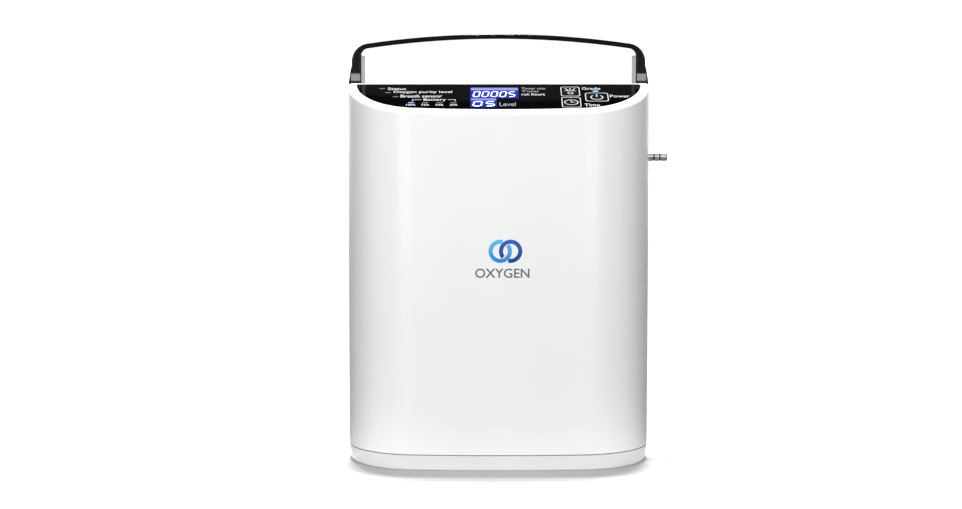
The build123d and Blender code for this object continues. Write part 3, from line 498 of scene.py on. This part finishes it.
def piece(name, meshes, material, body):
    """Joins meshes into one named piece that rides on a CAD body."""
    joined = bmesh.new()
    for mesh in meshes:
        joined.from_mesh(mesh)
        bpy.data.meshes.remove(mesh)
    whole = bpy.data.meshes.new(name)
    joined.to_mesh(whole)
    joined.free()
    made = bpy.data.objects.new(name, whole)
    bpy.context.scene.collection.objects.link(made)
    whole.materials.append(material)
    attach(made, body)


def letters(name, text, across, up, low, high, place, weight=0.0):
    """Lettering stretched to fill a rectangle given as (from, to) across and up."""
    curve = bpy.data.curves.new(name, "FONT")
    curve.body = text
    curve.extrude = 0.5
    curve.offset = weight
    curve.resolution_u = 4
    holder = bpy.data.objects.new(name, curve)
    bpy.context.scene.collection.objects.link(holder)
    bpy.context.view_layer.update()
    mesh = bpy.data.meshes.new_from_object(holder.evaluated_get(bpy.context.evaluated_depsgraph_get()))
    bpy.data.objects.remove(holder)
    bpy.data.curves.remove(curve)
    xs = [v.co.x for v in mesh.vertices]
    ys = [v.co.y for v in mesh.vertices]
    for v in mesh.vertices:
        u = across[0] + (v.co.x - min(xs)) / (max(xs) - min(xs)) * (across[1] - across[0])
        w = up[0] + (v.co.y - min(ys)) / (max(ys) - min(ys)) * (up[1] - up[0])
        v.co = place(u, w, high if v.co.z > 0 else low)
    bm = bmesh.new()
    bm.from_mesh(mesh)
    bmesh.ops.remove_doubles(bm, verts=bm.verts, dist=1e-7)
    bmesh.ops.recalc_face_normals(bm, faces=bm.faces)
    bm.to_mesh(mesh)
    bm.free()
    return mesh


def rounded(u0, u1, w0, w1, radius, steps=6):
    """Outline of a rectangle with rounded corners."""
    corners = [(u1 - radius, w1 - radius, 0), (u0 + radius, w1 - radius, 1),
               (u0 + radius, w0 + radius, 2), (u1 - radius, w0 + radius, 3)]
    points = []
    for u, w, quarter in corners:
        turns = [pi / 2 * (quarter + k / steps) for k in range(steps + 1)]
        points += [(u + radius * cos(t), w + radius * sin(t)) for t in turns]
    return points


def arc_band(u, w, radius, width, start, stop, steps=24):
    """Outline of a band along part of a circle, angles in degrees."""
    turns = [radians(start + (stop - start) * k / steps) for k in range(steps + 1)]
    outer = [(u + (radius + width / 2) * cos(t), w + (radius + width / 2) * sin(t)) for t in turns]
    inner = [(u + (radius - width / 2) * cos(t), w + (radius - width / 2) * sin(t)) for t in turns]
    return outer + inner[::-1]


def bar(u0, w0, u1, w1, width):
    """Outline of a straight stroke."""
    along = Vector((u1 - u0, w1 - w0)).normalized()
    side = Vector((-along.y, along.x)) * width / 2
    return [(u0 + side.x, w0 + side.y), (u0 - side.x, w0 - side.y),
            (u1 - side.x, w1 - side.y), (u1 + side.x, w1 + side.y)]


def digit(shape, u, w, width, height, stroke, slant):
    """Seven-segment figure standing on w, leaning to the right."""
    ends = {
        "a": (0, 1, 1, 1), "b": (1, 1, 1, 0.5), "c": (1, 0.5, 1, 0), "d": (0, 0, 1, 0),
        "e": (0, 0.5, 0, 0), "f": (0, 1, 0, 0.5), "g": (0, 0.5, 1, 0.5),
    }
    lit = {"0": "abcdef", "5": "afgcd"}[shape]
    gap = stroke * 0.55
    outlines = []
    for name in lit:
        x0, y0, x1, y1 = ends[name]
        x0, x1, y0, y1 = x0 * width, x1 * width, y0 * height, y1 * height
        if y0 == y1:
            line = bar(x0 + gap, y0, x1 - gap, y1, stroke)
        else:
            line = bar(x0, y0 - gap, x1, y1 + gap, stroke)
        outlines.append([(u + x + slant * y, w + y) for x, y in line])
    return outlines


# ---------------------------------------------------------------- display slope

SUNK = -0.2                           # height of the panel, window and lamps on the slope
PRINT_FOOT, PRINT_TOP = SUNK - 0.02, SUNK + INK
STRIP_TOP = SUNK + 0.06               # lit lamps and header strips
FIGURE_TOP = SUNK + 0.09
KEY_TOP = 0.15
WHITE_INK = printed_ink("ink white", (0.46, 0.47, 0.49), (0.56, 0.57, 0.59))
GREY_INK = printed_ink("ink grey", (0.10, 0.10, 0.105), (0.13, 0.13, 0.135))
PALE_INK = printed_ink("ink pale", (0.20, 0.205, 0.21), (0.25, 0.255, 0.26))
PALE_WORDS = ("Level", "Total", "Timer min")


def down_slope(u, w, h):
    return on_slope(u, -w, h)


def panel_words():
    """Words printed on the panel, each as (text, x from, x to, v of the top, v of the foot)."""
    words = [
        ("Status", -65.8, -55.0, 6.6, 10.6),
        ("Oxygen purity level", -62.3, -27.6, 11.8, 16.6),
        ("Breath sensor", -57.9, -33.4, 18.4, 22.9),
        ("Battery", -44.2, -31.0, 24.4, 29.2),
        ("Level", 0.3, 9.8, 30.6, 36.6),
        ("Timer min", 13.4, 27.6, 6.4, 9.8),
        ("Total", 13.4, 23.4, 11.2, 14.2),
        ("run hours", 13.4, 27.2, 15.6, 19.6),
        ("Grade", 49.4, 60.3, 6.2, 10.2),
        ("Power", 65.5, 77.0, 18.5, 22.7),
        ("Time", 49.8, 58.8, 32.6, 37.2),
    ]
    meshes, pale = [], []
    for k, (text, x0, x1, top, foot) in enumerate(words):
        group = pale if text in PALE_WORDS else meshes
        group.append(letters(f"word_{k}", text, (x0, x1), (-foot, -top), PRINT_FOOT, PRINT_TOP,
                             down_slope, 0.008))
    for k, (x, _) in enumerate(BATTERY_LAMPS):
        text = ("100%", "75%", "50%", "25%")[k]
        half = 2.7 if k == 0 else 2.3
        meshes.append(letters(f"share_{k}", text, (x - half, x + half), (-36.0, -33.3), PRINT_FOOT,
                              PRINT_TOP, down_slope, 0.012))
    strokes = [bar(-50.6, -26.4, -45.4, -26.4, 0.5), bar(-50.6, -26.4, -50.6, -28.6, 0.5),
               bar(-29.8, -26.4, -25.6, -26.4, 0.5), bar(-25.6, -26.4, -25.6, -28.6, 0.5)]
    meshes.append(prism_mesh("bracket", strokes, PRINT_FOOT, PRINT_TOP, down_slope))
    piece("panel_words", meshes, WHITE_INK, "housing")
    piece("panel_pale_words", pale, PALE_INK, "housing")


def lcd_face():
    """Glowing header strips, figures and the shorter lower row."""
    strips = [rounded(-16.5, 11.4, -11.2, -7.1, 0.3), rounded(-16.5, -1.6, -27.6, -24.4, 0.3)]
    header = lit_ink("display header", (0.13, 0.14, 0.42), (0.17, 0.18, 0.48), 0.35,
                     RIDGE_Z - 10 * MM, RIDGE_Z)
    lids = prism_mesh("strips", strips, PRINT_FOOT, STRIP_TOP, down_slope)
    piece("lcd_header", [lids], header, "housing")
    glow = lit_ink("display figures", (0.62, 0.86, 0.98), (0.74, 0.90, 1.0), 0.75, RIDGE_Z - 14 * MM, RIDGE_Z)
    outlines = []
    for k, shape in enumerate("00005"):
        outlines += digit(shape, -15.2 + 5.2 * k, -21.6, 3.3, 8.2, 0.85, 0.12)
    for k, shape in enumerate("05"):
        outlines += digit(shape, -15.2 + 7.4 * k, -36.6, 4.6, 7.2, 1.1, 0.12)
    figures = prism_mesh("figures", outlines, PRINT_FOOT, FIGURE_TOP, down_slope)
    piece("lcd_figures", [figures], glow, "housing")


def key_face(name, key, body, strokes, radius, width):
    """Outline and sign printed on one key."""
    x0, x1, v0, v1 = key
    inset = 0.35
    outer = rounded(x0 + inset, x1 - inset, -v1 + inset, -v0 - inset, radius)
    inset += width
    inner = rounded(x0 + inset, x1 - inset, -v1 + inset, -v0 - inset, radius - width * 0.6)
    low, high = KEY_TOP - 0.02, KEY_TOP + INK
    rim = ring_mesh("rim", outer, inner, low, high, down_slope)
    sign = prism_mesh("sign", strokes, low, high, down_slope)
    piece(name, [rim, sign], WHITE_INK, body)


def key_faces():
    """Signs on the keys: a spray with a ring below it, a clock, and the usual power sign."""
    level = [arc_band(42.3, -16.6, 1.5, 0.55, 0, 360), bar(39.3, -8.6, 41.2, -12.6, 0.6),
             bar(45.3, -8.6, 43.4, -12.6, 0.6), bar(39.0, -12.9, 45.6, -12.9, 0.6),
             bar(42.3, -8.4, 42.3, -11.6, 0.6)]
    clock = [arc_band(42.3, -31.4, 3.9, 0.6, 0, 360), bar(42.3, -31.6, 42.3, -28.9, 0.6),
             bar(42.1, -31.4, 44.5, -31.4, 0.6)]
    power = [arc_band(57.6, -23.4, 3.5, 0.65, 125, 415), bar(57.6, -18.6, 57.6, -22.8, 0.7)]
    key_face("level_key_face", KEYS["level"], "level_button", level, 1.6, 0.5)
    key_face("timer_key_face", KEYS["timer"], "timer_button", clock, 1.6, 0.5)
    key_face("power_key_face", KEYS["power"], "power_button", power, 2.0, 0.55)


def lit_lamps():
    """The two lamps that are on, as glowing covers over their lenses."""
    blue = lit_ink("lamp blue", (0.05, 0.20, 0.95), (0.20, 0.45, 1.0), 1.3, RIDGE_Z - 12 * MM, RIDGE_Z)
    half_x, half_v = 1.62, 0.75
    outlines = [
        rounded(x - half_x, x + half_x, -v - half_v, -v + half_v, 0.55)
        for x, v in (BATTERY_LAMPS[0], POWER_LAMP)
    ]
    covers = prism_mesh("lamps", outlines, PRINT_FOOT, STRIP_TOP, down_slope)
    piece("lit_lamps", [covers], blue, "housing")


# ---------------------------------------------------------------- marks on the casing

def emblem():
    """Two linked rings for the oxygen molecule, with the plain word under them."""
    low, high = (EMBLEM_Z - EMBLEM_HALF) * MM, (EMBLEM_Z + EMBLEM_HALF) * MM
    sky = lit_ink("emblem sky", (0.02, 0.22, 0.62), (0.10, 0.52, 0.86), 0.0, low, high)
    navy = lit_ink("emblem navy", (0.004, 0.045, 0.28), (0.02, 0.13, 0.50), 0.0, low, high)
    links = (("left", LINK_XS[0], 76.2, 399, sky), ("right", LINK_XS[1], -104, 219, navy))
    for side, x, start, stop, ink in links:
        band = arc_band(x, EMBLEM_Z, LINK_R, LINK_WIDTH, start, stop, steps=48)
        link = prism_mesh(side, [band], INK_FOOT, INK, on_front)
        piece(f"emblem_{side}", [link], ink, "housing")
    word = letters("word", "OXYGEN", (-13.9, 17.7), (114.4, 119.9), INK_FOOT, INK, on_front, 0.012)
    piece("emblem_word", [word], GREY_INK, "housing")


def rear_marks():
    """Plain words on the rear, at the intake cover and over the battery's latch."""
    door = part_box("filter_door")
    door_z = (door[0].z + door[1].z) / 2 / MM
    word = letters("air", "AIR FILTER", (-9.0, 9.0), (door_z - 20.2, door_z - 17.6), INK_FOOT, INK,
                   on_rear, 0.012)
    piece("intake_mark", [word], MATERIALS["abs_grey"], "intake_cover")
    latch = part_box("battery_latch")
    z = latch[1].z / MM
    arrow = [(-2.6, z + 8.4), (0.0, z + 6.4), (2.6, z + 8.4)]
    meshes = [letters("pack", "BATTERY", (-8.0, 8.0), (z + 2.2, z + 4.8), INK_FOOT, INK, on_rear, 0.012),
              prism_mesh("arrow", [arrow], INK_FOOT, INK, on_rear)]
    piece("latch_mark", meshes, GREY_INK, "housing")


def jack_mark():
    """The usual sign for a centre-positive inlet, over the socket in the left-hand end."""
    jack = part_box("dc_jack")
    y, z = (jack[0].y + jack[1].y) / 2, jack[1].z / MM + 5.0

    def on_left_end(u, w, h):
        turn = y / END_R - u * MM / END_R
        return Vector((-END_X - (END_R + h * MM) * cos(turn), (END_R + h * MM) * sin(turn), w * MM))

    strokes = [arc_band(0.0, z, 1.5, 0.4, 40, 320), arc_band(0.0, z, 0.35, 0.7, 0, 360, steps=12),
               bar(0.6, z, 3.2, z, 0.4), bar(-3.2, z, -1.6, z, 0.4),
               bar(3.7, z, 5.1, z, 0.4), bar(4.4, z - 0.7, 4.4, z + 0.7, 0.4), bar(-5.1, z, -3.7, z, 0.4)]
    sign = prism_mesh("jack", strokes, INK_FOOT, INK, on_left_end)
    piece("jack_mark", [sign], GREY_INK, "housing")


panel_words()
rear_marks()
jack_mark()
lcd_face()
key_faces()
lit_lamps()
emblem()


# ---------------------------------------------------------------- stage

def make_stage():
    """Pale matt floor, which the sun brings up to white outside the shadow."""
    mesh = bpy.data.meshes.new("floor")
    bm = bmesh.new()
    bmesh.ops.create_grid(bm, x_segments=8, y_segments=8, size=FLOOR_HALF)
    bm.to_mesh(mesh)
    bm.free()
    floor = bpy.data.objects.new("floor", mesh)
    bpy.context.scene.collection.objects.link(floor)
    mat, tree, shader = new_material("floor white")
    tree.links.new(two_tone(tree, noise(tree, 3.0), (0.635, 0.635, 0.635), (0.65, 0.65, 0.65)),
                   shader.inputs["Base Color"])
    shader.inputs["Roughness"].default_value = 0.8
    shader.inputs["Specular IOR Level"].default_value = 0.2
    floor.data.materials.append(mat)


def area_light(name, place, size, power):
    """Softbox turned towards the middle of the body."""
    data = bpy.data.lights.new(name, "AREA")
    data.shape = "RECTANGLE"
    data.size, data.size_y = size
    data.energy = power
    lamp = bpy.data.objects.new(name, data)
    bpy.context.scene.collection.objects.link(lamp)
    lamp.location = place
    lamp.rotation_euler = (Vector(LIGHT_AIM) - Vector(place)).to_track_quat("-Z", "Y").to_euler()


def black_flag(name, points, faces):
    """Dark card beside the set: it keeps stray light off the body and casts no shadow itself."""
    mesh = bpy.data.meshes.new(name)
    mesh.from_pydata(points, [], faces)
    flag = bpy.data.objects.new(name, mesh)
    bpy.context.scene.collection.objects.link(flag)
    flag.data.materials.append(MATERIALS["rubber"])
    flag.visible_camera = False
    flag.visible_shadow = False


def make_flags():
    """A dark ring lying round the foot and a tall card at each end."""
    ring = [
        (side_x * half_x, side_y * half_y, RING_Z)
        for half_x, half_y in (RING_INNER, RING_OUTER)
        for side_x, side_y in ((-1, -1), (1, -1), (1, 1), (-1, 1))
    ]
    black_flag("flag_floor", ring, [(k, (k + 1) % 4, 4 + (k + 1) % 4, 4 + k) for k in range(4)])
    for side in (-1, 1):
        corners = ((-1, 0), (1, 0), (1, 1), (-1, 1))
        card = [(side * CARD_X, y * CARD_HALF_DEPTH, z * CARD_HEIGHT) for y, z in corners]
        black_flag(f"flag_{side}", card, [(0, 1, 2, 3)])


def make_lights():
    """A pale world, a soft sun from above and slightly behind, and softboxes in pairs all round."""
    world = bpy.data.worlds.new("studio")
    bpy.context.scene.world = world
    world.use_nodes = True
    tree = world.node_tree
    background = tree.nodes["Background"]
    path = add(tree, "ShaderNodeLightPath")
    sheen = add(tree, "ShaderNodeMapRange")
    sheen.inputs["To Min"].default_value = WORLD_GLOW
    sheen.inputs["To Max"].default_value = WORLD_GLOW * WORLD_SHEEN
    level = add(tree, "ShaderNodeMapRange")
    level.inputs["To Max"].default_value = BACKDROP
    tree.links.new(path.outputs["Is Glossy Ray"], sheen.inputs["Value"])
    tree.links.new(sheen.outputs["Result"], level.inputs["To Min"])
    tree.links.new(path.outputs["Is Camera Ray"], level.inputs["Value"])
    tree.links.new(level.outputs["Result"], background.inputs["Strength"])
    background.inputs["Color"].default_value = (1, 1, 1, 1)

    sun = bpy.data.lights.new("overhead", "SUN")
    sun.energy = SUN_POWER
    sun.angle = radians(SUN_SPREAD)
    overhead = bpy.data.objects.new("overhead", sun)
    overhead.rotation_euler = (radians(SUN_LEAN), 0, 0)
    bpy.context.scene.collection.objects.link(overhead)

    for name, (place, size, power) in SOFTBOXES.items():
        area_light(name, place, size, power)
    make_flags()


def make_camera():
    """Level with the crown of the handle, looking slightly down at the middle of the body."""
    data = bpy.data.cameras.new("camera")
    camera = bpy.data.objects.new("camera", data)
    bpy.context.scene.collection.objects.link(camera)
    data.sensor_width = SENSOR_WIDTH
    data.lens = CAMERA_LENS
    camera.location = CAMERA_PLACE
    camera.rotation_euler = (radians(90 - CAMERA_DIP), 0, 0)
    bpy.context.scene.camera = camera
    bpy.context.scene.view_settings.view_transform = "Standard"


make_stage()
make_lights()
make_camera()
